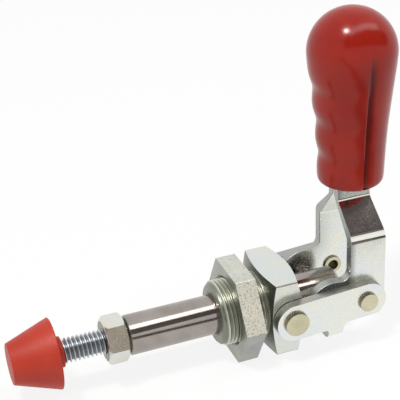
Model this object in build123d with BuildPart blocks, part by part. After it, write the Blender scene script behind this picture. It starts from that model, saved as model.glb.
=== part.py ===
from build123d import *
import os
from math import asin, atan2, cos, degrees, radians, sin, sqrt, tan

os.makedirs("parts", exist_ok=True)

# Push-pull toggle clamp, plunger forward and locked, handle upright.
# Millimetres. X runs rearward along the plunger, Y to the far side, Z up.
# Origin: centre of the seat face of the collar, on the plunger axis.

# --- plunger, barrel and collar ---
plunger_d = 9.5
bore_clear = 0.03            # radial running fit of the plunger in its bore
barrel_d = 15.8              # crest diameter of an M16 x 1.5 thread
barrel_len = 11.3
collar_w = 18.8              # square bar, across flats
collar_len = 7.8
collar_edge = 0.3
seat_angle = 15.0            # turned chamfer on the seat side, degrees
rear_angle = 21.0            # turned chamfer on the rear side, degrees

# --- mounting nut ---
nut_af = 22.0
nut_t = 5.0
nut_gap = 2.8                # free length between nut and seat face
nut_sink = 0.7               # countersink at both ends of the thread
nut_face_ratio = 1.07        # face radius over half the width across flats
thread_clear = 0.05          # radial, between plain thread cylinders

# --- spindle bolt, jam nut and bumper ---
spindle_d = 5.9              # crest diameter of an M6 x 1 thread
spindle_engage = 12.0        # length screwed into the plunger
tap_depth = 20.0             # depth of the tapped hole in the plunger
spindle_free = 9.8           # thread seen between jam nut and bumper
jam_af = 10.0
jam_t = 5.0
jam_face_ratio = 0.95
bolt_head_af = 10.0
bolt_head_t = 4.0
bumper_front_d = 9.5
bumper_rear_d = 16.8
bumper_len = 10.4
bumper_hub_d = 7.2
bumper_hub_t = 1.6
bumper_nose = 3.2            # rubber ahead of the bolt head
plunger_front_x = -33.2
plunger_behind_pin = 4.9

# --- link and its pins ---
link_len = 18.6              # pivot A to pivot B
crank_len = 8.0              # pivot B to plunger pin
over_centre = 1.0            # pivot B above the plunger axis when locked
pivot_a_x = 4.9
link_t = 2.3
link_r = 4.75
side_play = 0.05             # between neighbouring flat parts
collar_play = 0.2            # link plate to collar side
pivot_clear = 0.05           # radial, hole over pin
pin_a_d = 4.0
pin_a_head_d = 5.9
pin_a_head_t = 0.85
pin_wall = 0.72              # collar left between the end of the pin and the bore
rivet_d = 3.6
rivet_head_d = 4.6
rivet_head_t = 0.8
rivet_hollow_d = 2.8
rivet_tail_t = 0.6
bridge_front = 8.0           # bridge strip, along the link from pivot A
bridge_rear = 11.9
bridge_gap = 0.1             # over-centre stop, bridge under the plunger
bridge_inner_r = 0.5
bridge_outer_r = 2.6

# --- handle plates ---
cheek_t = 2.4
cheek_front_x = 20.0
cheek_rear_x = 29.1
arm_r = 6.8
arm_floor = -4.4
bend_low_z = 17.3            # outer face, lower bend
bend_high_z = 24.0           # outer face, upper bend
tang_front_x = 20.0
tang_rear_x = 28.5
tang_top_z = 58.0
bend_inner_r = 1.0
bend_outer_r = bend_inner_r + cheek_t
plunger_pin_d = 4.0
plunger_eye_d = 6.8          # open eye, leaves room for the swing of the crank

# --- grip ---
grip_x = 24.4
grip_bottom_z = 28.0
grip_dome_z = 59.45
grip_dome_r = 10.25
grip_fit = 0.02
grip_bottom_r = 7.75
grip_edge = 0.8
grip_waist_r = 8.42
grip_waist_z = 42.0
groove_r = 6.5
grooves = [(48.8, 9.05), (41.0, 8.25), (32.9, 7.75)]   # height, distance of the cut from the axis

# --- derived positions ---
bore_d = plunger_d + 2 * bore_clear
link_in = collar_w / 2 + collar_play
link_out = link_in + link_t
cheek_out = link_in - side_play
cheek_gap_half = cheek_out - cheek_t
pin_a_inner = bore_d / 2 + pin_wall
tilt = degrees(asin(over_centre / link_len))
pivot_b_x = pivot_a_x + sqrt(link_len ** 2 - over_centre ** 2)
pin_p_x = pivot_b_x - sqrt(crank_len ** 2 - over_centre ** 2)
jam_rear_x = plunger_front_x
jam_front_x = jam_rear_x - jam_t
hub_rear_x = jam_front_x - spindle_free
cone_rear_x = hub_rear_x - bumper_hub_t
cone_front_x = cone_rear_x - bumper_len
head_front_x = cone_front_x + bumper_nose
through = 100.0              # reach of a cutting tool, past every piece
side = {"near": -1, "far": 1}


def hex_nut(af, thickness, bore, x0, face_ratio):
    """Hexagon nut with turned corners on both faces, flats up, along X."""
    with BuildPart() as nut:
        with BuildSketch(Plane.YZ.offset(x0)):
            RegularPolygon(af / sqrt(3), 6)
            Circle(bore / 2, mode=Mode.SUBTRACT)
        extrude(amount=thickness)
        r0 = af / 2 * face_ratio
        r1 = af / sqrt(3) + 1.0
        cut = (r1 - r0) * tan(radians(30))
        with BuildSketch(Plane.XZ) as turned:
            with BuildLine():
                Polyline((x0, 0), (x0, r0), (x0 + cut, r1), (x0 + thickness - cut, r1),
                         (x0 + thickness, r0), (x0 + thickness, 0), close=True)
            make_face()
        revolve(axis=Axis.X, mode=Mode.INTERSECT)
    return nut.part


# body: square collar turned at both ends, with the threaded barrel in front
with BuildPart() as body:
    with BuildSketch(Plane.YZ):
        RectangleRounded(collar_w, collar_w, collar_edge)
    extrude(amount=collar_len)
    with BuildSketch(Plane.XZ):
        r_seat = collar_w / 2
        r_big = collar_w / sqrt(2) + 1.0
        d_front = (r_big - r_seat) * tan(radians(seat_angle))
        d_rear = (r_big - r_seat) * tan(radians(rear_angle))
        with BuildLine():
            Polyline((0, 0), (0, r_seat), (d_front, r_big), (collar_len - d_rear, r_big),
                     (collar_len, r_seat), (collar_len, 0), close=True)
        make_face()
    revolve(axis=Axis.X, mode=Mode.INTERSECT)
    with BuildSketch(Plane.YZ):
        Circle(barrel_d / 2)
    extrude(amount=-barrel_len)
    chamfer(body.faces().sort_by(Axis.X)[0].outer_wire().edges(), 0.9)
    with BuildSketch(Plane.YZ.offset(-barrel_len)):
        Circle(bore_d / 2)
    extrude(amount=barrel_len + collar_len, mode=Mode.SUBTRACT)
    chamfer(body.faces().sort_by(Axis.X)[0].inner_wires()[0].edges(), 0.5)
    for s in side.values():
        hole_plane = Plane(origin=(pivot_a_x, s * collar_w / 2, 0), x_dir=(1, 0, 0), z_dir=(0, -s, 0))
        with BuildSketch(hole_plane):
            Circle(pin_a_d / 2)
        extrude(amount=collar_w / 2 - pin_a_inner, mode=Mode.SUBTRACT)
body.part.label = "body"
export_step(body.part, "parts/body.step")

# mounting nut on the barrel
with BuildPart() as mounting_nut:
    add(hex_nut(nut_af, nut_t, barrel_d + 2 * thread_clear, -nut_gap - nut_t, nut_face_ratio))
    chamfer(mounting_nut.edges().filter_by(GeomType.CIRCLE).group_by(SortBy.RADIUS)[0], nut_sink)
mounting_nut.part.label = "mounting_nut"
export_step(mounting_nut.part, "parts/mounting_nut.step")

# plunger: ground bar, tapped at the front, cross eye at the rear
with BuildPart() as plunger:
    with BuildSketch(Plane.YZ.offset(plunger_front_x)):
        Circle(plunger_d / 2)
    extrude(amount=pin_p_x + plunger_behind_pin - plunger_front_x)
    chamfer(plunger.faces().sort_by(Axis.X)[0].edges(), 0.7)
    chamfer(plunger.faces().sort_by(Axis.X)[-1].edges(), 0.8)
    with BuildSketch(Plane.YZ.offset(plunger_front_x)):
        Circle(spindle_d / 2 + thread_clear)
    extrude(amount=tap_depth, mode=Mode.SUBTRACT)
    with BuildSketch(Plane.XZ):
        with Locations((pin_p_x, 0)):
            Circle(plunger_eye_d / 2)
    extrude(amount=through, both=True, mode=Mode.SUBTRACT)
plunger.part.label = "plunger"
export_step(plunger.part, "parts/plunger.step")

# spindle bolt: hexagon head buried in the bumper, thread screwed into the plunger
with BuildPart() as spindle_bolt:
    with BuildSketch(Plane.YZ.offset(head_front_x)):
        RegularPolygon(bolt_head_af / sqrt(3), 6)
    extrude(amount=bolt_head_t)
    with BuildSketch(Plane.YZ.offset(head_front_x + bolt_head_t)):
        Circle(spindle_d / 2)
    extrude(amount=plunger_front_x + spindle_engage - head_front_x - bolt_head_t)
spindle_bolt.part.label = "spindle_bolt"
export_step(spindle_bolt.part, "parts/spindle_bolt.step")

# jam nut against the front of the plunger
with BuildPart() as jam_nut:
    add(hex_nut(jam_af, jam_t, spindle_d + 2 * thread_clear, jam_front_x, jam_face_ratio))
jam_nut.part.label = "jam_nut"
export_step(jam_nut.part, "parts/jam_nut.step")

# bumper: rubber cone moulded round the bolt head
with BuildPart() as bumper:
    with BuildSketch(Plane.XZ):
        with BuildLine():
            Polyline((cone_front_x, 0), (cone_front_x, bumper_front_d / 2),
                     (cone_rear_x, bumper_rear_d / 2), (cone_rear_x, bumper_hub_d / 2),
                     (hub_rear_x, bumper_hub_d / 2), (hub_rear_x, 0), close=True)
        make_face()
    revolve(axis=Axis.X)
    rims = bumper.edges().filter_by(GeomType.CIRCLE).sort_by(SortBy.RADIUS)
    chamfer(rims[-1], 0.35)
    chamfer(bumper.faces().sort_by(Axis.X)[0].edges(), 0.35)
    with BuildSketch(Plane.YZ.offset(head_front_x)):
        RegularPolygon(bolt_head_af / sqrt(3), 6)
    extrude(amount=bolt_head_t, mode=Mode.SUBTRACT)
    with BuildSketch(Plane.YZ.offset(head_front_x + bolt_head_t)):
        Circle(spindle_d / 2)
    extrude(amount=hub_rear_x - head_front_x, mode=Mode.SUBTRACT)
bumper.part.label = "bumper"
export_step(bumper.part, "parts/bumper.step")

# link: one stamping, two side plates joined by a bridge under the plunger
link_plane = Plane(origin=(pivot_a_x, 0, 0), x_dir=(cos(radians(tilt)), 0, sin(radians(tilt))),
                   z_dir=(0, -1, 0))
link_section = Plane(origin=(pivot_a_x, 0, 0), x_dir=(0, 1, 0),
                     z_dir=(cos(radians(tilt)), 0, sin(radians(tilt))))
bridge_top = -(plunger_d / 2 + bridge_gap) - bridge_rear * sin(radians(tilt))
tail_z = -link_r + 0.75      # the lower edge steps up behind the bridge
tail_angle = degrees(asin(tail_z / link_r))
with BuildPart() as link:
    with BuildSketch(link_plane):
        with BuildLine():
            front_arc = CenterArc((0, 0), link_r, 90, 180)
            Polyline(front_arc @ 1, (bridge_front - 0.5, -link_r), (bridge_front, -link_r - 0.5),
                     (bridge_front, bridge_top - link_t), (bridge_rear, bridge_top - link_t),
                     (bridge_rear, -link_r - 0.4), (bridge_rear + 1.1, tail_z),
                     (link_len + link_r * cos(radians(tail_angle)), tail_z))
            rear_arc = CenterArc((link_len, 0), link_r, tail_angle, 90 - tail_angle)
            Line(rear_arc @ 1, front_arc @ 0)
        make_face()
    extrude(amount=link_out, both=True)
    low = [e for e in link.edges() if abs(abs(e.center().Y) - link_out) < 1e-4
           and e.center().Z < bridge_top - link_t + bridge_rear * sin(radians(tilt)) + 0.3
           and abs(e.length - (bridge_rear - bridge_front)) < 1e-4]
    fillet(low, bridge_outer_r)
    with BuildSketch(link_section) as hollow:
        with BuildLine():
            Polyline((-link_in, link_len), (-link_in, bridge_top), (link_in, bridge_top),
                     (link_in, link_len), close=True)
        make_face()
        fillet(hollow.vertices().group_by(Axis.Y)[0], bridge_inner_r)
    extrude(amount=through, both=True, mode=Mode.SUBTRACT)
    with BuildSketch(link_plane):
        Circle(pin_a_d / 2 + pivot_clear)
        with Locations((link_len, 0)):
            Circle(rivet_d / 2 + pivot_clear)
    extrude(amount=through, both=True, mode=Mode.SUBTRACT)
link.part.label = "link"
export_step(link.part, "parts/link.step")


def headed_pin(s, x, z, shank_d, head_d, head_t, inner_y):
    """Round pin along Y whose head bears on the outer face of the link."""
    under = link_out + side_play
    with BuildPart() as pin:
        base = Plane(origin=(x, s * under, z), x_dir=(1, 0, 0), z_dir=(0, s, 0))
        with BuildSketch(base):
            Circle(head_d / 2)
        extrude(amount=head_t)
        with BuildSketch(base):
            Circle(shank_d / 2)
        extrude(amount=-(under - inner_y))
    return pin.part


# pivot pins of the link, pressed into the collar
with BuildPart() as pivot_pin_near:
    add(headed_pin(side["near"], pivot_a_x, 0, pin_a_d, pin_a_head_d, pin_a_head_t,
                   pin_a_inner))
pivot_pin_near.part.label = "pivot_pin_near"
export_step(pivot_pin_near.part, "parts/pivot_pin_near.step")

with BuildPart() as pivot_pin_far:
    add(headed_pin(side["far"], pivot_a_x, 0, pin_a_d, pin_a_head_d, pin_a_head_t,
                   pin_a_inner))
pivot_pin_far.part.label = "pivot_pin_far"
export_step(pivot_pin_far.part, "parts/pivot_pin_far.step")


def tubular_rivet(s):
    """Semi-tubular rivet: head on the link, flared tail on the inside of the plate."""
    tail = Plane(origin=(pivot_b_x, s * cheek_gap_half, over_centre), x_dir=(1, 0, 0),
                 z_dir=(0, -s, 0))
    with BuildPart() as rivet:
        add(headed_pin(s, pivot_b_x, over_centre, rivet_d, rivet_head_d, rivet_head_t,
                       cheek_gap_half))
        with BuildSketch(tail):
            Circle(rivet_head_d / 2)
        extrude(amount=rivet_tail_t)
        with BuildSketch(tail.offset(rivet_tail_t)):
            Circle(rivet_hollow_d / 2)
        extrude(amount=-2.6, mode=Mode.SUBTRACT)
    return rivet.part


with BuildPart() as rivet_near:
    add(tubular_rivet(side["near"]))
rivet_near.part.label = "rivet_near"
export_step(rivet_near.part, "parts/rivet_near.step")

with BuildPart() as rivet_far:
    add(tubular_rivet(side["far"]))
rivet_far.part.label = "rivet_far"
export_step(rivet_far.part, "parts/rivet_far.step")

# plunger pin across the two arms
with BuildPart() as plunger_pin:
    with BuildSketch(Plane.XZ):
        with Locations((pin_p_x, 0)):
            Circle(plunger_pin_d / 2)
    extrude(amount=cheek_out, both=True)
plunger_pin.part.label = "plunger_pin"
export_step(plunger_pin.part, "parts/plunger_pin.step")


def corner(sketch, x, y):
    """Sketch corner nearest to a point, in the sketch's own coordinates."""
    return sketch.vertices().sort_by_distance((x, y, 0))[0]


def handle_plate(s):
    """Bent sheet: arm and cheek outside, joggled in to meet its twin under the grip."""
    out_y = cheek_out
    lean = atan2(out_y - cheek_t, bend_high_z - bend_low_z)
    shift = cheek_t * tan(lean / 2)
    with BuildPart() as plate:
        with BuildSketch(Plane.YZ) as section:
            with BuildLine():
                Polyline((s * out_y, -through), (s * out_y, bend_low_z), (s * cheek_t, bend_high_z),
                         (s * cheek_t, tang_top_z), (0, tang_top_z), (0, bend_high_z + shift),
                         (s * cheek_gap_half, bend_low_z - shift), (s * cheek_gap_half, -through),
                         close=True)
            make_face()
            fillet(corner(section, s * out_y, bend_low_z), bend_outer_r)
            fillet(corner(section, 0, bend_high_z + shift), bend_outer_r)
            fillet(corner(section, s * cheek_t, bend_high_z), bend_inner_r)
            fillet(corner(section, s * cheek_gap_half, bend_low_z - shift), bend_inner_r)
        extrude(amount=through)
        with BuildSketch(Plane.XZ) as outline:
            with BuildLine():
                Polyline((cheek_front_x, arm_floor), (25.2, arm_floor), (27.2, arm_floor + 0.5),
                         (28.4, arm_floor + 1.7), (cheek_rear_x, 0.3), (cheek_rear_x, 15.5),
                         (tang_rear_x, bend_high_z - 1), (tang_rear_x, tang_top_z),
                         (tang_front_x, tang_top_z), close=True)
            make_face()
            with Locations((pin_p_x, 0)):
                Circle(arm_r)
            with Locations((pin_p_x, arm_floor - 5)):
                Rectangle(60, 10, mode=Mode.SUBTRACT)
            fillet(corner(outline, cheek_front_x, 5.1), 2.2)
        extrude(amount=through, both=True, mode=Mode.INTERSECT)
        with BuildSketch(Plane.XZ):
            with Locations((pin_p_x, 0)):
                Circle(plunger_pin_d / 2)
            with Locations((pivot_b_x, over_centre)):
                Circle(rivet_d / 2)
        extrude(amount=through, both=True, mode=Mode.SUBTRACT)
    return plate.part


with BuildPart() as handle_plate_near:
    add(handle_plate(side["near"]))
handle_plate_near.part.label = "handle_plate_near"
export_step(handle_plate_near.part, "parts/handle_plate_near.step")

with BuildPart() as handle_plate_far:
    add(handle_plate(side["far"]))
handle_plate_far.part.label = "handle_plate_far"
export_step(handle_plate_far.part, "parts/handle_plate_far.step")

# grip: moulded plastic, domed top, three finger grooves in front, slot for the plates
grip_plane = Plane(origin=(grip_x, 0, 0), x_dir=(1, 0, 0), z_dir=(0, -1, 0))
with BuildPart() as grip:
    with BuildSketch(grip_plane):
        with BuildLine():
            dome = CenterArc((0, grip_dome_z), grip_dome_r, 0, 90)
            Polyline(dome @ 1, (0, grip_bottom_z), (grip_bottom_r - grip_edge, grip_bottom_z),
                     (grip_bottom_r, grip_bottom_z + grip_edge), (grip_waist_r, grip_waist_z),
                     dome @ 0)
        make_face()
    revolve(axis=Axis((grip_x, 0, 0), (0, 0, 1)))
    for height, reach in grooves:
        with BuildSketch(Plane.XZ):
            with Locations((grip_x - reach - groove_r, height)):
                Circle(groove_r)
        extrude(amount=through, both=True, mode=Mode.SUBTRACT)
    slot_x = (tang_front_x + tang_rear_x) / 2
    with BuildSketch(Plane.XY.offset(grip_bottom_z)):
        with Locations((slot_x, 0)):
            Rectangle(tang_rear_x - tang_front_x + 2 * grip_fit, 2 * (cheek_t + grip_fit))
    extrude(amount=tang_top_z + grip_fit - grip_bottom_z, mode=Mode.SUBTRACT)
grip.part.label = "grip"
export_step(grip.part, "parts/grip.step")
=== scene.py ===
# %% [markdown]
# # A push-pull toggle clamp
# The clamp's solids arrive already placed, in metres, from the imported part. This script dresses
# them: threads, softened edges, a moulded grip and the finish of every surface.
# Nothing here moves or resizes a solid, because the joints depend on where they are.

from math import atan2, cos, exp, pi, radians, sin, tan

import bmesh
import bpy
from mathutils import Matrix, Vector


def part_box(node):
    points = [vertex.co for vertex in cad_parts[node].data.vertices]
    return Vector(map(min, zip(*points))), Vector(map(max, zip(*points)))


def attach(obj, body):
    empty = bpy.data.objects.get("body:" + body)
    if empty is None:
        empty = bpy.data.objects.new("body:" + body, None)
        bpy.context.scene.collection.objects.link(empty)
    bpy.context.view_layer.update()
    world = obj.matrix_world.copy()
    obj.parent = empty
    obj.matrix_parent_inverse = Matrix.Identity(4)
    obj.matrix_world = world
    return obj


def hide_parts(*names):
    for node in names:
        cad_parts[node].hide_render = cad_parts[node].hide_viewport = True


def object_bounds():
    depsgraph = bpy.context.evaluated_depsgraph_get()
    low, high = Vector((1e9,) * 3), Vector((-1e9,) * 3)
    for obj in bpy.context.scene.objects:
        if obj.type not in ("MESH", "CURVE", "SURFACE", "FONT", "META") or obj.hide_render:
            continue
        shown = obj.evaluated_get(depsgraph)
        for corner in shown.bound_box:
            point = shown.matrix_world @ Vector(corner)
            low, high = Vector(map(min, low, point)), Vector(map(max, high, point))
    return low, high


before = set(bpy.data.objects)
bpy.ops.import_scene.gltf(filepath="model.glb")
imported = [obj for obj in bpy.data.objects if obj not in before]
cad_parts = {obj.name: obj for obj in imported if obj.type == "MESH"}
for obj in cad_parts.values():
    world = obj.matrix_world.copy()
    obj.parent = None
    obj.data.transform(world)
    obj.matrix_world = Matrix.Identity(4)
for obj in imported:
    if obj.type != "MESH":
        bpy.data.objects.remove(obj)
cad_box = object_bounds()
scene = bpy.context.scene
MM = 0.001
print("nodes:", sorted(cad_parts))

# %% [markdown]
# ## Helpers for shapes
# A finished piece keeps its object at the origin, with its place in its mesh. One helper wraps a
# bmesh as such an object. Another softens edges, because sheared steel and moulded plastic never
# end in a perfectly sharp line, and that thin rounded edge is what catches the light.


# %% Wrap a bmesh as a piece
def finish_piece(bm, name, body, smooth_angle=35.0):
    bmesh.ops.remove_doubles(bm, verts=bm.verts, dist=1e-6)
    bmesh.ops.recalc_face_normals(bm, faces=bm.faces)
    mesh = bpy.data.meshes.new(name)
    bm.to_mesh(mesh)
    bm.free()
    mesh.shade_smooth()
    mesh.set_sharp_from_angle(angle=radians(smooth_angle))
    piece = bpy.data.objects.new(name, mesh)
    scene.collection.objects.link(piece)
    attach(piece, body)
    print(name, len(mesh.polygons), "faces")
    return piece


# %% Clean copy of a solid's mesh
def clean_copy(node):
    bm = bmesh.new()
    bm.from_mesh(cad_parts[node].data)
    bmesh.ops.remove_doubles(bm, verts=bm.verts, dist=1e-6)
    bmesh.ops.dissolve_limit(bm, angle_limit=radians(0.6), verts=bm.verts, edges=bm.edges)
    return bm


# %% Soften the edges of a piece
def soften(piece, width, segments=2, angle=30.0):
    bevel = piece.modifiers.new("edge_break", "BEVEL")
    bevel.width = width * MM
    bevel.segments = segments
    bevel.limit_method = "ANGLE"
    bevel.angle_limit = radians(angle)
    bevel.use_clamp_overlap = True
    bevel.harden_normals = True
    return piece


# %% Another finish on some faces of a piece
def partly(piece, material, chosen):
    piece.data.materials.append(material)
    for face in piece.data.polygons:
        if chosen(face.normal, face.center / MM):
            face.material_index = len(piece.data.materials) - 1


# %% [markdown]
# ## Helpers for finishes
# Colours are written as sRGB hex, as read off a swatch, and turned to linear values once.
# `add_node` makes a shader node, sets its values and joins its links in one call.


# %% Colour and node helpers
def linear(hex_colour):
    out = []
    for i in (1, 3, 5):
        c = int(hex_colour[i:i + 2], 16) / 255
        out.append(c / 12.92 if c <= 0.04045 else ((c + 0.055) / 1.055) ** 2.4)
    return (*out, 1.0)


def add_node(tree, kind, values=None, links=None, **settings):
    node = tree.nodes.new(kind)
    for key, value in settings.items():
        setattr(node, key, value)
    for key, value in (values or {}).items():
        node.inputs[key].default_value = value
    for key, source in (links or {}).items():
        tree.links.new(source, node.inputs[key])
    return node


def ramp(tree, source, stops):
    node = add_node(tree, "ShaderNodeValToRGB", links={"Fac": source})
    elements = node.color_ramp.elements
    while len(elements) < len(stops):
        elements.new(0.5)
    for element, (position, colour) in zip(elements, stops):
        element.position = position
        element.color = linear(colour) if isinstance(colour, str) else (colour,) * 3 + (1.0,)
    return node.outputs["Color"]


def new_finish(name):
    material = bpy.data.materials.new(name)
    material.use_nodes = True
    tree = material.node_tree
    shader = tree.nodes["Principled BSDF"]
    place = add_node(tree, "ShaderNodeTexCoord").outputs["Object"]
    return material, tree, shader, place


def stretched(tree, place, scale):
    return add_node(tree, "ShaderNodeMapping", {"Scale": scale}, {"Vector": place}).outputs["Vector"]


# %% [markdown]
# ## Bright zinc plating
# The collar, nuts, link and handle plates are mild steel with bright zinc plating. Zinc follows
# every mark in the steel below it: the colour drifts between faint blue and faint straw over
# several millimetres, and the grain of the steel shows as fine speckle. Rolled sheet is the
# brightest. A sheared edge is torn and grey. A turned end face is rougher than a flat, and its
# darker colour is painted shade.


# %% One colour laid over another, darkening it
def darkened(tree, colour, shade):
    return add_node(tree, "ShaderNodeMix", {"Factor": 1.0}, {"A": colour, "B": shade},
                    data_type="RGBA", blend_type="MULTIPLY").outputs["Result"]


# %% Painted shade on the arms in front of the handle, full up to 19.5 mm along X and gone by 21.5 mm
def arm_painted_shade(tree, place):
    spot = add_node(tree, "ShaderNodeSeparateXYZ", links={0: place}).outputs
    ahead = add_node(tree, "ShaderNodeMapRange", {"From Min": 19.5 * MM, "From Max": 21.5 * MM},
                     {"Value": spot["X"]}).outputs["Result"]
    return ramp(tree, ahead, [(0.0, 0.22), (1.0, 1.0)])


# %% Zinc finish
def zinc_finish(name, grain_mm, roughness, depth, cool, warm, contrast=(0.75, 1.3), speck=1.0,
                painted_shade=None):
    material, tree, shader, place = new_finish(name)
    cloud = add_node(tree, "ShaderNodeTexNoise", {"Scale": 1 / (7 * MM), "Detail": 2.0},
                     {"Vector": place}).outputs["Fac"]
    tint = ramp(tree, cloud, [(0.38, cool), (0.66, warm)])
    grain = add_node(tree, "ShaderNodeTexNoise", {"Scale": 1 / (grain_mm * MM), "Detail": 4.0},
                     {"Vector": place}).outputs["Fac"]
    colour = tint
    if speck < 1:
        colour = darkened(tree, colour, ramp(tree, grain, [(0.34, speck), (0.50, 1.0)]))
    if painted_shade:
        colour = darkened(tree, colour, painted_shade(tree, place))
    tree.links.new(colour, shader.inputs["Base Color"])
    rough = add_node(tree, "ShaderNodeMapRange",
                     {"From Min": 0.3, "From Max": 0.7, "To Min": roughness * contrast[0],
                      "To Max": roughness * contrast[1]}, {"Value": grain})
    tree.links.new(rough.outputs["Result"], shader.inputs["Roughness"])
    bump = add_node(tree, "ShaderNodeBump", {"Strength": 1.0, "Distance": depth * MM},
                    {"Height": grain})
    tree.links.new(bump.outputs["Normal"], shader.inputs["Normal"])
    shader.inputs["Metallic"].default_value = 1.0
    return material


sheet_zinc = zinc_finish("bright_zinc_on_rolled_sheet", 0.40, 0.26, 0.005, "#E4E9E8", "#ECEBDF")
plate_zinc = zinc_finish("bright_zinc_on_bent_sheet", 0.40, 0.26, 0.005, "#E4E9E8", "#ECEBDF")
# Painted shade: this zinc darkens the outer faces of the arms in front of the handle
arm_painted_shade_zinc = zinc_finish("bright_zinc_with_painted_shade_on_the_arm", 0.40, 0.26, 0.005, "#E4E9E8", "#ECEBDF",
                           painted_shade=arm_painted_shade)
# Painted shade: the handle's sloping facet gets a darker zinc than the sheet around it
facet_painted_shade_zinc = zinc_finish("zinc_with_painted_shade_on_the_facet", 0.35, 0.14, 0.0036, "#AEA6A2", "#BBB3AD",
                         contrast=(0.7, 1.7))
# Painted highlight: a lighter and smoother zinc for the middle of the handle's bend
bend_painted_highlight_zinc = zinc_finish("smooth_zinc_with_painted_highlight_on_the_bend", 0.35, 0.14, 0.002, "#EDEBE4", "#F2F0E6")
# Painted shade: a dark zinc for the lower part of the handle's bend
bend_painted_shade_zinc = zinc_finish("zinc_with_painted_shade_low_on_the_bend", 0.35, 0.22, 0.005, "#807C75", "#8C8880")
# Grey zinc of sheared edges, also used as painted shade on the mounting nut's lower flats
sheared_edge_and_painted_shade_zinc = zinc_finish("zinc_on_sheared_edge_and_painted_shade", 0.45, 0.40, 0.012, "#A4A8A7", "#B3B2A8")
turned_zinc = zinc_finish("bright_zinc_on_turned_steel", 0.35, 0.25, 0.0025, "#D8DDDC", "#DEDED3")
# Rougher zinc for turned end faces, with painted shade darkening it
end_face_painted_shade_zinc = zinc_finish("zinc_on_turned_end_face_with_painted_shade", 0.30, 0.36, 0.006, "#85877F", "#96968A")
nut_zinc = zinc_finish("bright_zinc_on_sawn_nut", 0.40, 0.30, 0.010, "#C9CEC6", "#D6D5C9",
                       contrast=(0.8, 1.5), speck=0.80)
# Painted light: one nut flat is lighter and creamier than the rest, with real speckle from the grain
speckled_zinc_with_painted_light = zinc_finish("cream_zinc_with_painted_light_on_sawn_flat", 0.38, 0.24, 0.009, "#EEEADA", "#F3EDDC",
                            contrast=(0.8, 1.5), speck=0.42)
# Painted shade: the mounting nut's end faces are darker than its flats
nut_face_painted_shade_zinc = zinc_finish("zinc_on_sawn_end_face_with_painted_shade", 0.30, 0.34, 0.005, "#9A9C93", "#AAAA9E")
jam_zinc = zinc_finish("bright_zinc_on_small_nut", 0.30, 0.28, 0.003, "#DCDED8", "#E0D9C9")
# Painted shade: the jam nut's near flat is darker than its other flats
jam_flat_painted_shade_zinc = zinc_finish("zinc_with_painted_shade_on_the_jam_nut_flat", 0.40, 0.30, 0.004, "#B8B0A3", "#AEA492")


# %% Thread finish, with painted shade making it darker towards the root
def thread_finish_with_painted_shade(name, root_mm, crest_mm, root, flank, crest):
    material, tree, shader, place = new_finish(name)
    across = add_node(tree, "ShaderNodeVectorMath", links={0: stretched(tree, place, (0, 1, 1))},
                      operation="LENGTH").outputs["Value"]
    height = add_node(tree, "ShaderNodeMapRange", {"From Min": root_mm * MM, "From Max": crest_mm * MM},
                      {"Value": across}).outputs["Result"]
    tree.links.new(ramp(tree, height, [(0.10, root), (0.55, flank), (0.95, crest)]),
                   shader.inputs["Base Color"])
    shader.inputs["Roughness"].default_value = 0.34
    shader.inputs["Metallic"].default_value = 1.0
    return material


spindle_thread_zinc = thread_finish_with_painted_shade("zinc_on_small_thread", 2.34, 2.95, "#74777A", "#B0B4B8", "#DCE2E6")
barrel_thread_zinc = thread_finish_with_painted_shade("zinc_on_large_thread", 7.29, 7.9, "#85877A", "#B3B5A6", "#DCDDD0")

# %% [markdown]
# ## Ground steel
# The plunger is ground round, which leaves hair-fine rings about its length and a warm grey shine.
# The rings are far finer than the picture can show, so they are drawn 0.15 mm apart.

# %% Ground steel finish
ground_steel, tree, shader, place = new_finish("ground_steel_bar")
rings = add_node(tree, "ShaderNodeTexNoise", {"Scale": 1 / (0.15 * MM), "Detail": 2.0},
                 {"Vector": stretched(tree, place, (1.0, 0.02, 0.02))}).outputs["Fac"]
stain = add_node(tree, "ShaderNodeTexNoise", {"Scale": 1 / (5 * MM), "Detail": 3.0},
                 {"Vector": place}).outputs["Fac"]
tree.links.new(ramp(tree, stain, [(0.35, "#9A928C"), (0.65, "#A79F99")]), shader.inputs["Base Color"])
rough = add_node(tree, "ShaderNodeMapRange", {"From Min": 0.3, "From Max": 0.7, "To Min": 0.11,
                 "To Max": 0.18}, {"Value": rings})
tree.links.new(rough.outputs["Result"], shader.inputs["Roughness"])
bump = add_node(tree, "ShaderNodeBump", {"Distance": 0.001 * MM}, {"Height": rings})
tree.links.new(bump.outputs["Normal"], shader.inputs["Normal"])
shader.inputs["Metallic"].default_value = 1.0

# %% [markdown]
# ## Pin heads
# Small parts are plated in a barrel, where they rub together. Their zinc is duller and straw
# coloured, and their flat heads are faintly mottled.

# %% Pin head finish
pin_zinc = zinc_finish("straw_zinc_on_pins", 0.5, 0.32, 0.006, "#C6C1A2", "#D6D1B4")
# Painted shade: the sides of the pin heads are much darker than their flat ends
pin_side_painted_shade_zinc = zinc_finish("straw_zinc_with_painted_shade_on_pin_sides", 0.4, 0.30, 0.006, "#7E7865", "#8D8672")

# %% [markdown]
# ## Red grip and red bumper
# The grip is moulded in a glossy plastic, smooth enough to mirror a lamp. The bumper is
# rubber: the same red, but matt, with a dusty bloom on its surface.


# %% The grip's axis and mould line, for its shape and its finish
grip_x = 24.4
line_top, line_bottom = 61.0, 28.3
line_angle = radians(-4.5)


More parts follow.
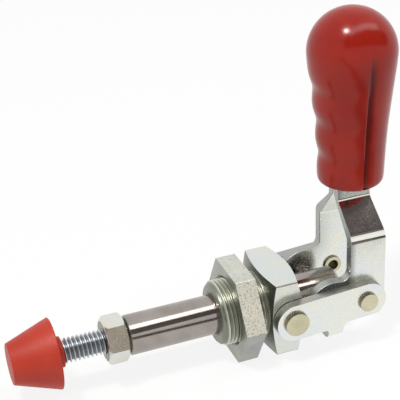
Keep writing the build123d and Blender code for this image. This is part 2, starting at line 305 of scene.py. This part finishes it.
# %% Shade in the hollow beside the mould line
def line_shade(tree, place):
    def math(operation, first, second):
        node = add_node(tree, "ShaderNodeMath", operation=operation)
        for socket, value in zip(node.inputs, (first, second)):
            if isinstance(value, float):
                socket.default_value = value
            else:
                tree.links.new(value, socket)
        return node.outputs[0]

    spot = add_node(tree, "ShaderNodeSeparateXYZ", links={0: place}).outputs
    angle = math("ARCTAN2", math("SUBTRACT", spot["X"], grip_x * MM), math("MULTIPLY", spot["Y"], -1.0))
    past = math("DIVIDE", math("SUBTRACT", angle, line_angle), 0.25)
    below = add_node(tree, "ShaderNodeMapRange", {"From Min": line_top * MM,
                     "From Max": (line_top - 3.5) * MM}, {"Value": spot["Z"]}).outputs["Result"]
    shade = ramp(tree, past, [(0.0, 1.0), (0.03, 0.34), (0.50, 0.48), (0.95, 1.0)])
    return add_node(tree, "ShaderNodeMix", {"A": (1, 1, 1, 1)}, {"Factor": below, "B": shade},
                    data_type="RGBA").outputs["Result"]


# %% Moulded finishes
def moulded_finish(name, dark, light, roughness, speckle_mm, depth, shine, shade=None):
    material, tree, shader, place = new_finish(name)
    bloom = add_node(tree, "ShaderNodeTexNoise", {"Scale": 1 / (9 * MM), "Detail": 3.0},
                     {"Vector": place}).outputs["Fac"]
    colour = ramp(tree, bloom, [(0.35, dark), (0.68, light)])
    if shade:
        colour = darkened(tree, colour, shade(tree, place))
    tree.links.new(colour, shader.inputs["Base Color"])
    speckle = add_node(tree, "ShaderNodeTexNoise", {"Scale": 1 / (speckle_mm * MM), "Detail": 3.0},
                       {"Vector": place}).outputs["Fac"]
    rough = add_node(tree, "ShaderNodeMapRange", {"From Min": 0.3, "From Max": 0.7,
                     "To Min": roughness * 0.85, "To Max": roughness * 1.15}, {"Value": speckle})
    tree.links.new(rough.outputs["Result"], shader.inputs["Roughness"])
    bump = add_node(tree, "ShaderNodeBump", {"Distance": depth * MM}, {"Height": speckle})
    tree.links.new(bump.outputs["Normal"], shader.inputs["Normal"])
    shader.inputs["Specular IOR Level"].default_value = shine
    return material


grip_plastic = moulded_finish("glossy_moulded_grip_plastic", "#92180B", "#9E210F", 0.20, 1.6, 0.003,
                              0.29, line_shade)
bumper_rubber = moulded_finish("matt_moulded_rubber", "#B0301F", "#BC3923", 0.48, 0.5, 0.006, 0.35)

# %% [markdown]
# ## Threads
# A thread is one tooth profile swept round the axis while it moves forward by one pitch a turn.
# `bmesh.ops.spin` does both at once, given the advance for each step. The sweep runs past both
# ends, is cut square, and its crests are then drawn in to a cone for the lead-in chamfer.


# %% Sweep a thread along X
def threaded_bar(crest_r, pitch, x0, x1, chamfer_mm=0.0, steps=56, bore_r=0.0):
    depth = 0.613 * pitch
    root_r = crest_r - depth
    turns = int((x1 - x0) / pitch) + 3
    tooth = [(0.0, root_r), (0.18 * pitch, root_r), (0.44 * pitch, crest_r),
             (0.56 * pitch, crest_r), (0.82 * pitch, root_r), (pitch, root_r)]
    bm = bmesh.new()
    start = x0 - 1.5 * pitch
    line = [bm.verts.new(((start + x) * MM, 0, r * MM)) for x, r in tooth]
    edges = [bm.edges.new(pair) for pair in zip(line, line[1:])]
    bmesh.ops.spin(bm, geom=line + edges, cent=(0, 0, 0), axis=(1, 0, 0), angle=2 * pi * turns,
                   dvec=(pitch / steps * MM, 0, 0), steps=steps * turns, use_merge=False)
    bmesh.ops.remove_doubles(bm, verts=bm.verts, dist=2e-6)
    for x, side in ((x0, -1), (x1, 1)):
        bmesh.ops.bisect_plane(bm, geom=bm.verts[:] + bm.edges[:] + bm.faces[:], dist=1e-7,
                               plane_co=(x * MM, 0, 0), plane_no=(side, 0, 0), clear_outer=True)
    for v in bm.verts:
        r = Vector((v.co.y, v.co.z)).length
        limit = (crest_r - chamfer_mm) * MM + (v.co.x - x0 * MM)
        if chamfer_mm and r > limit:
            v.co.y *= limit / r
            v.co.z *= limit / r
    close_ends(bm, x0, x1, bore_r)
    return bm


# %% Close the ends of a thread, with or without a bore
def close_ends(bm, x0, x1, bore_r):
    bore_rims = []
    for x in (x0, x1):
        rim = [e for e in bm.edges if e.is_boundary and abs(e.verts[0].co.x - x * MM) < 1e-6
               and abs(e.verts[1].co.x - x * MM) < 1e-6]
        if bore_r:
            turn = Matrix.Translation((x * MM, 0, 0)) @ Matrix.Rotation(pi / 2, 4, "Y")
            ring = bmesh.ops.create_circle(bm, segments=64, radius=bore_r * MM, matrix=turn)["verts"]
            inner = list({e for v in ring for e in v.link_edges})
            bmesh.ops.bridge_loops(bm, edges=rim + inner)
            bore_rims += inner
        else:
            bmesh.ops.contextual_create(bm, geom=rim)
    if bore_r:
        bmesh.ops.bridge_loops(bm, edges=bore_rims)


# %% [markdown]
# ## Body
# The body is turned from square bar, then threaded. Its collar keeps the solid's own faces, and
# the plain cylinder of the barrel gives way to a real thread of 1 mm pitch.

# %% Body with its thread
low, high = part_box("body")
barrel_crest = 7.9
bore_radius = 4.78
collar = clean_copy("body")
bmesh.ops.bisect_plane(collar, geom=collar.verts[:] + collar.edges[:] + collar.faces[:],
                       dist=1e-8, plane_co=(-0.02 * MM, 0, 0), plane_no=(-1, 0, 0), clear_outer=True)
cut_rim = [e for e in collar.edges if e.is_boundary]
bmesh.ops.bridge_loops(collar, edges=cut_rim)
barrel = threaded_bar(barrel_crest, 1.0, low.x / MM, -0.02, chamfer_mm=0.9, bore_r=bore_radius)
barrel_mesh = bpy.data.meshes.new("barrel_thread_part")
barrel.to_mesh(barrel_mesh)
barrel.free()
collar.from_mesh(barrel_mesh)
bpy.data.meshes.remove(barrel_mesh)
body_piece = finish_piece(collar, "body_with_thread", "base", 28)
body_piece.data.materials.append(turned_zinc)
# Painted shade: end faces and the collar's rounded corners get a darker zinc
partly(body_piece, end_face_painted_shade_zinc, lambda normal, at: abs(normal.x) > 0.9)
partly(body_piece, end_face_painted_shade_zinc, lambda normal, at: min(abs(normal.y), abs(normal.z)) > 0.2
       and abs(normal.x) < 0.1 and Vector((at.y, at.z)).length > 11.5)
partly(body_piece, barrel_thread_zinc,
       lambda normal, at: at.x < -0.1 and Vector((at.y, at.z)).length > 6.5)
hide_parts("body")

# %% [markdown]
# ## Spindle bolt
# A fully threaded bolt of 1 mm pitch. Its head sits inside the rubber and its far end is inside
# the plunger, so only the 10 mm between bumper and jam nut is ever seen.

# %% Spindle with its thread
low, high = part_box("spindle_bolt")
head_end = low.x / MM + 4.0
spindle = threaded_bar(2.95, 1.0, head_end, high.x / MM, steps=48)
head = clean_copy("spindle_bolt")
bmesh.ops.bisect_plane(head, geom=head.verts[:] + head.edges[:] + head.faces[:], dist=1e-8,
                       plane_co=((head_end + 0.02) * MM, 0, 0), plane_no=(1, 0, 0),
                       clear_outer=True)
bmesh.ops.holes_fill(head, edges=[e for e in head.edges if e.is_boundary])
spindle_mesh = bpy.data.meshes.new("spindle_thread_part")
spindle.to_mesh(spindle_mesh)
spindle.free()
head.from_mesh(spindle_mesh)
bpy.data.meshes.remove(spindle_mesh)
spindle_piece = finish_piece(head, "spindle_with_thread", "spindle", 28)
spindle_piece.data.materials.append(spindle_thread_zinc)
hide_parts("spindle_bolt")

# %% [markdown]
# ## Bumper
# Moulded rubber turns every corner with a small radius. The outline is drawn once and spun about
# the plunger's axis.


# %% Round a corner of an outline
def rounded(points, radii, steps=5):
    out = []
    for i, (p, r) in enumerate(zip(points, radii)):
        if r == 0:
            out.append(Vector(p))
            continue
        here, before, after = Vector(p), Vector(points[i - 1]), Vector(points[i + 1])
        a, b = (before - here).normalized(), (after - here).normalized()
        half = a.angle(b) / 2
        start, end = here + a * r / tan(half), here + b * r / tan(half)
        for k in range(steps + 1):
            t = k / steps
            out.append(start * (1 - t) ** 2 + here * 2 * t * (1 - t) + end * t ** 2)
    return out


# %% Spin an outline about an axis
def spun(outline, along, centre=(0.0, 0.0), steps=96):
    bm = bmesh.new()
    line = []
    for a, r in outline:
        spot = (a, 0, r) if along == "X" else (centre[0] + r, centre[1], a)
        line.append(bm.verts.new(Vector(spot) * MM))
    edges = [bm.edges.new(pair) for pair in zip(line, line[1:])]
    axis = (1, 0, 0) if along == "X" else (0, 0, 1)
    cent = (0, 0, 0) if along == "X" else (centre[0] * MM, centre[1] * MM, 0)
    bmesh.ops.spin(bm, geom=line + edges, cent=cent, axis=axis, angle=2 * pi, steps=steps,
                   dvec=(0, 0, 0), use_merge=True)
    bmesh.ops.remove_doubles(bm, verts=bm.verts, dist=1e-6)
    return bm


# %% Bumper
low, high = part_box("bumper")
nose_x, tail_x = low.x / MM, high.x / MM
rim_x = tail_x - 1.6
outline = rounded([(nose_x, 0), (nose_x, 4.75), (rim_x, 8.4), (rim_x + 0.02, 3.6), (tail_x, 3.6),
                   (tail_x, 0)], [0, 0.25, 0.3, 0.25, 0.25, 0])
bumper_piece = finish_piece(spun(outline, "X"), "moulded_bumper", "spindle", 50)
bumper_piece.data.materials.append(bumper_rubber)
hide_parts("bumper")

# %% [markdown]
# ## Grip
# The grip is a tapering round moulding with a domed top and three finger hollows in front. It is
# spun smooth first, and then each point is drawn in where a finger goes. A bell curve in height
# and in angle gives the hollows their soft ends. The mould's two halves meet along a line down
# the side, where one half stands slightly proud.

# %% Outline of the grip
dome_z, dome_r = 59.45, 10.25
bottom_z = 28.0
wall = [(28.0, 6.6), (28.15, 7.2), (28.6, 7.6), (29.4, 7.78), (31.0, 7.86), (34.0, 7.98),
        (38.0, 8.18), (42.0, 8.45), (46.0, 8.84), (50.0, 9.28), (54.0, 9.73), (57.0, 10.08)]


def smooth_wall(points, per_span=6):
    out = []
    for i in range(len(points) - 1):
        p0 = Vector(points[max(i - 1, 0)])
        p1, p2 = Vector(points[i]), Vector(points[i + 1])
        p3 = Vector(points[min(i + 2, len(points) - 1)])
        for k in range(per_span):
            t = k / per_span
            out.append(0.5 * (2 * p1 + (p2 - p0) * t + (2 * p0 - 5 * p1 + 4 * p2 - p3) * t * t
                              + (3 * p1 - p0 - 3 * p2 + p3) * t ** 3))
    return out


dome = [(dome_z + dome_r * sin(radians(a)), dome_r * cos(radians(a))) for a in range(0, 91, 4)]
dome[-1] = (dome_z + dome_r, 0)
profile = [(bottom_z, 0)] + [tuple(p) for p in smooth_wall(wall)] + dome
grip_steps = 160
grip = spun(profile, "Z", (grip_x, 0), steps=grip_steps)

# %% Press the finger hollows and the mould line
# Each ring of points is first turned a little, so that one column of points follows the line.
hollows = [(51.2, 0.75, 2.3), (43.1, 0.75, 2.3), (35.0, 0.70, 2.2)]
hollow_spread = radians(52)
line_step, line_fade = 0.50, radians(11)
column = 2 * pi / grip_steps
for v in grip.verts:
    x, y, z = v.co.x / MM - grip_x, v.co.y / MM, v.co.z / MM
    r = (x * x + y * y) ** 0.5
    if r < 5 or z < bottom_z + 0.05:
        continue
    round_angle = atan2(y, x) + line_angle
    x, y = r * cos(round_angle), r * sin(round_angle)
    turn = atan2(y, -x)
    pull = sum(deep * exp(-((z - height) / wide) ** 2) for height, deep, wide in hollows)
    pull *= exp(-(turn / hollow_spread) ** 2)
    past = atan2(x, -y) - line_angle
    if past > column / 2 and line_bottom < z < line_top:
        pull += line_step * min(1.0, line_top - z) * exp(-(past / line_fade) ** 2)
    v.co.x = (grip_x + x * (r - pull) / r) * MM
    v.co.y = y * (r - pull) / r * MM
grip_piece = finish_piece(grip, "moulded_grip", "handle", 60)
grip_piece.data.materials.append(grip_plastic)
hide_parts("grip")

# %% [markdown]
# ## Mounting nut
# This nut is sawn from hexagon bar and left sharp, so its flats run from corner to corner. It is
# spun as a ring, and the ring's rim is then drawn out to the hexagon.

# %% Mounting nut
low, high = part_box("mounting_nut")
front, back, half_flats, sink = low.x / MM, high.x / MM, high.z / MM, 0.7
nut_bore = min(Vector((v.co.y, v.co.z)).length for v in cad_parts["mounting_nut"].data.vertices)
rim = nut_bore / MM + sink
nut = spun([(front + sink, rim - sink), (front, rim), (front, half_flats), (back, half_flats),
            (back, rim), (back - sink, rim - sink), (front + sink, rim - sink)], "X")
for v in nut.verts:
    if Vector((v.co.y, v.co.z)).length > half_flats * 0.99 * MM:
        off_flat = (atan2(v.co.y, v.co.z) + pi / 6) % (pi / 3) - pi / 6
        v.co.y /= cos(off_flat)
        v.co.z /= cos(off_flat)
nut_piece = soften(finish_piece(nut, "mounting_nut_from_bar", "nut", 28), 0.12)
nut_piece.data.materials.append(nut_zinc)
# Painted shade on the nut's end faces
partly(nut_piece, nut_face_painted_shade_zinc, lambda normal, at: abs(normal.x) > 0.5)
# Painted shade on the nut's lower flats
partly(nut_piece, sheared_edge_and_painted_shade_zinc, lambda normal, at: normal.z < -0.3 and abs(normal.x) < 0.5)
# Painted light on the nut flat that faces up and forward
partly(nut_piece, speckled_zinc_with_painted_light, lambda normal, at: normal.y < -0.8 and normal.z > 0.3)
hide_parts("mounting_nut")

# %% [markdown]
# ## Plates, small nut and pins
# These solids already have the right shape. Each gets a cleaned copy of its mesh, a finish, and
# an edge break as wide as that kind of part has: wider on sheared sheet, narrow on a pin.

# %% Dress the remaining metal
dressed = [
    # node, body, finish, slot, edge break in mm
    ("jam_nut", "ram", jam_zinc, "zinc_plated_steel", 0.10),
    ("plunger", "ram", ground_steel, "ground_steel", 0.08),
    ("link", "link", sheet_zinc, "zinc_plated_steel", 0.16),
    ("handle_plate_near", "handle", plate_zinc, "zinc_plated_steel", 0.18),
    ("handle_plate_far", "handle", plate_zinc, "zinc_plated_steel", 0.18),
    ("pivot_pin_near", "base", pin_zinc, "yellow_zinc_steel", 0.08),
    ("pivot_pin_far", "base", pin_zinc, "yellow_zinc_steel", 0.08),
    ("rivet_near", "handle", pin_zinc, "yellow_zinc_steel", 0.06),
    ("rivet_far", "handle", pin_zinc, "yellow_zinc_steel", 0.06),
    ("plunger_pin", "handle", ground_steel, "ground_steel", 0.06),
]
other_faces = {
    sheet_zinc: (sheared_edge_and_painted_shade_zinc, lambda normal, at: abs(normal.y) < 0.3),
    plate_zinc: (sheared_edge_and_painted_shade_zinc, lambda normal, at: abs(normal.y) < 0.3),
    # Painted shade on the small nut's end faces
    jam_zinc: (end_face_painted_shade_zinc, lambda normal, at: abs(normal.x) > 0.9),
    # Painted shade on the sides of pins and rivets
    pin_zinc: (pin_side_painted_shade_zinc, lambda normal, at: abs(normal.y) < 0.3),
}
for node, body, finish, slot_name, edge in dressed:
    piece = finish_piece(clean_copy(node), node + "_dressed", body, 28)
    soften(piece, edge)
    piece.data.materials.append(finish)
    if finish in other_faces:
        partly(piece, *other_faces[finish])
    if finish is jam_zinc:
        # Painted shade on the jam nut's near flat
        partly(piece, jam_flat_painted_shade_zinc, lambda normal, at: normal.y < -0.8 and normal.z > 0.3)
    if finish is plate_zinc:
        # Painted shade on the outer faces of the arms
        partly(piece, arm_painted_shade_zinc, lambda normal, at: abs(normal.y) > 0.9 and normal.y * at.y > 0)
        # Painted shade in the lower part of the bend
        partly(piece, bend_painted_shade_zinc, lambda normal, at: abs(normal.y) > 0.3 and normal.z > 0.03)
        # Painted highlight along the middle of the bend
        partly(piece, bend_painted_highlight_zinc, lambda normal, at: abs(normal.y) > 0.3 and normal.z > 0.25)
        # Painted shade on the sloping facet
        partly(piece, facet_painted_shade_zinc, lambda normal, at: abs(normal.y) > 0.3 and normal.z > 0.66)
    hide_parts(node)

# %% [markdown]
# ## Studio
# Bright plating shows what is around it more than it shows light. The clamp stands on a white
# table in a white room. A long strip lamp hangs over the viewer's side, and two grey cards stand
# in front with a gap between them. Round steel turns these into its bright and dark bands, and a
# small lamp from the left makes the spot on the grip. The cards are seen only in reflections, and
# a lamp's power is worked out from how bright its face should look, where 1 is white.


# %% Places around the clamp
middle = Vector((-0.005, 0, 0.01))


def placed(direction, distance):
    outward = Vector(direction).normalized()
    level = Vector((0, 1, 1)).cross(outward).normalized()
    turn = Matrix((level, outward.cross(level), outward)).transposed().to_4x4()
    return Matrix.Translation(middle + outward * distance) @ turn


def elevated(degrees_up, sideways=0.3):
    return (sideways, -cos(radians(degrees_up)), sin(radians(degrees_up)))


# %% Lamps
def panel(name, direction, distance, size, face_brightness):
    light = bpy.data.lights.new(name, "AREA")
    light.shape = "RECTANGLE"
    light.size, light.size_y = size
    light.energy = face_brightness * pi * size[0] * size[1]
    lamp = bpy.data.objects.new(name, light)
    lamp.matrix_world = placed(direction, distance)
    scene.collection.objects.link(lamp)
    return lamp


panel("key_lamp", (-0.307, -0.160, 0.938), 0.95, (0.12, 0.12), 110)
panel("strip_lamp", elevated(76), 0.85, (1.1, 0.21), 3.2)


# %% Rays that see the white background
def white_rays(tree, share):
    rays = add_node(tree, "ShaderNodeLightPath")
    seen = rays.outputs["Is Camera Ray"]
    for kind in ("Is Glossy Ray", "Is Transmission Ray"):
        seen = add_node(tree, "ShaderNodeMath", links={0: seen, 1: rays.outputs[kind]},
                        operation="MAXIMUM").outputs[0]
    return add_node(tree, "ShaderNodeMath", {1: share}, {0: seen}, operation="MULTIPLY").outputs[0]


# %% Table and grey cards
def flat_card(name, matrix, size, material):
    bm = bmesh.new()
    bmesh.ops.create_grid(bm, x_segments=1, y_segments=1, size=0.5)
    bmesh.ops.scale(bm, vec=(*size, 1), verts=bm.verts)
    bmesh.ops.transform(bm, matrix=matrix, verts=bm.verts)
    mesh = bpy.data.meshes.new(name)
    bm.to_mesh(mesh)
    bm.free()
    card = bpy.data.objects.new(name, mesh)
    card.data.materials.append(material)
    scene.collection.objects.link(card)
    return card


def reflection_card(name, low_edge, high_edge, length, material, distance=1.0):
    height = 2 * distance * tan(radians(high_edge - low_edge) / 2)
    card = flat_card(name, placed(elevated((low_edge + high_edge) / 2), distance),
                     (length, height), material)
    card.visible_camera = False
    card.visible_shadow = False
    card.visible_diffuse = False
    return card


table_finish, tree, shader, place = new_finish("pale_table")
shader.inputs["Base Color"].default_value = linear("#F4F4F2")
shader.inputs["Roughness"].default_value = 0.9
paper = add_node(tree, "ShaderNodeEmission", {"Color": (1, 1, 1, 1), "Strength": 1.0})
mixed = add_node(tree, "ShaderNodeMixShader", links={0: white_rays(tree, 0.86),
                 1: shader.outputs[0], 2: paper.outputs[0]})
tree.links.new(mixed.outputs[0], tree.nodes["Material Output"].inputs["Surface"])
flat_card("table", Matrix.Translation((0, 0, cad_box[0][2] - 0.0006)), (6, 6), table_finish)

grey_finish, tree, shader, place = new_finish("grey_card")
grey = add_node(tree, "ShaderNodeEmission", {"Color": linear("#6E6A69"), "Strength": 1.0})
tree.links.new(grey.outputs[0], tree.nodes["Material Output"].inputs["Surface"])
reflection_card("high_grey_card", 31, 67, 3.0, grey_finish)
reflection_card("low_grey_card", -11.5, 3.3, 0.6, grey_finish, distance=0.08)

# %% World: white to look at, and dimmer as a source of light
world = bpy.data.worlds.new("room")
scene.world = world
world.use_nodes = True
tree = world.node_tree
room = tree.nodes["Background"]
room.inputs["Color"].default_value = linear("#B9B9BA")
room.inputs["Strength"].default_value = 0.75
white = add_node(tree, "ShaderNodeBackground", {"Color": (1, 1, 1, 1), "Strength": 1.0})
mixed = add_node(tree, "ShaderNodeMixShader", links={0: white_rays(tree, 1.0),
                 1: room.outputs[0], 2: white.outputs[0]})
tree.links.new(mixed.outputs[0], tree.nodes["World Output"].inputs["Surface"])

# %% [markdown]
# ## Camera
# From the front left and above, close enough that the near end of the clamp looks a little larger.
# The clamp stands a little left of the lens axis, so the frame is shifted to hold all of it.

# %% Camera
turn_in, look_down, roll = radians(20.32), radians(27.49), radians(-2.49)
forward = Vector((sin(turn_in) * cos(look_down), cos(turn_in) * cos(look_down), -sin(look_down)))
side_way = Vector((cos(turn_in), -sin(turn_in), 0))
upward = side_way.cross(forward)
right = side_way * cos(roll) + upward * sin(roll)
up = upward * cos(roll) - side_way * sin(roll)
lens = bpy.data.cameras.new("catalogue_camera")
lens.lens = 101.37
lens.sensor_width = 36
lens.shift_x = -0.05
camera = bpy.data.objects.new("catalogue_camera", lens)
camera.matrix_world = Matrix((
    (right.x, up.x, -forward.x, -0.0863), (right.y, up.y, -forward.y, -0.2106),
    (right.z, up.z, -forward.z, 0.1465), (0, 0, 0, 1)))
scene.collection.objects.link(camera)
scene.camera = camera
scene.view_settings.view_transform = "Standard"
